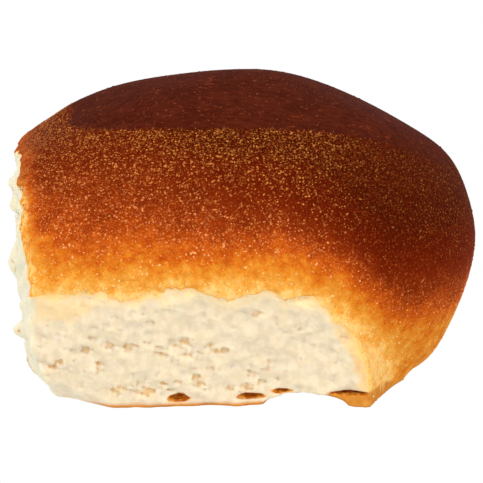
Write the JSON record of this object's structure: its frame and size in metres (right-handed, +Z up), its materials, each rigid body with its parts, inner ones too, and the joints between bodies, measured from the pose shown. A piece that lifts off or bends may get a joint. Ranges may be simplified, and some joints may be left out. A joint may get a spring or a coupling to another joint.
{
  "type": "bread roll",
  "caption": "Soft batch-baked bread roll with a domed brown crust, pulled off its neighbours so that pale torn crumb shows on the front and the left side.",
  "frame": {"origin": "middle of the roll's bounding box, on the flat base", "axes": "+X to the right along the torn front, +Y to the crusted back, +Z up"},
  "size_m": [0.1018, 0.0914, 0.061],
  "materials": {
    "crust": "baked bread crust, dark brown on the cap and golden low down, over matte cream crumb"
  },
  "bodies": {
    "root": {"roll": "crust"}
  },
  "joints": []
}
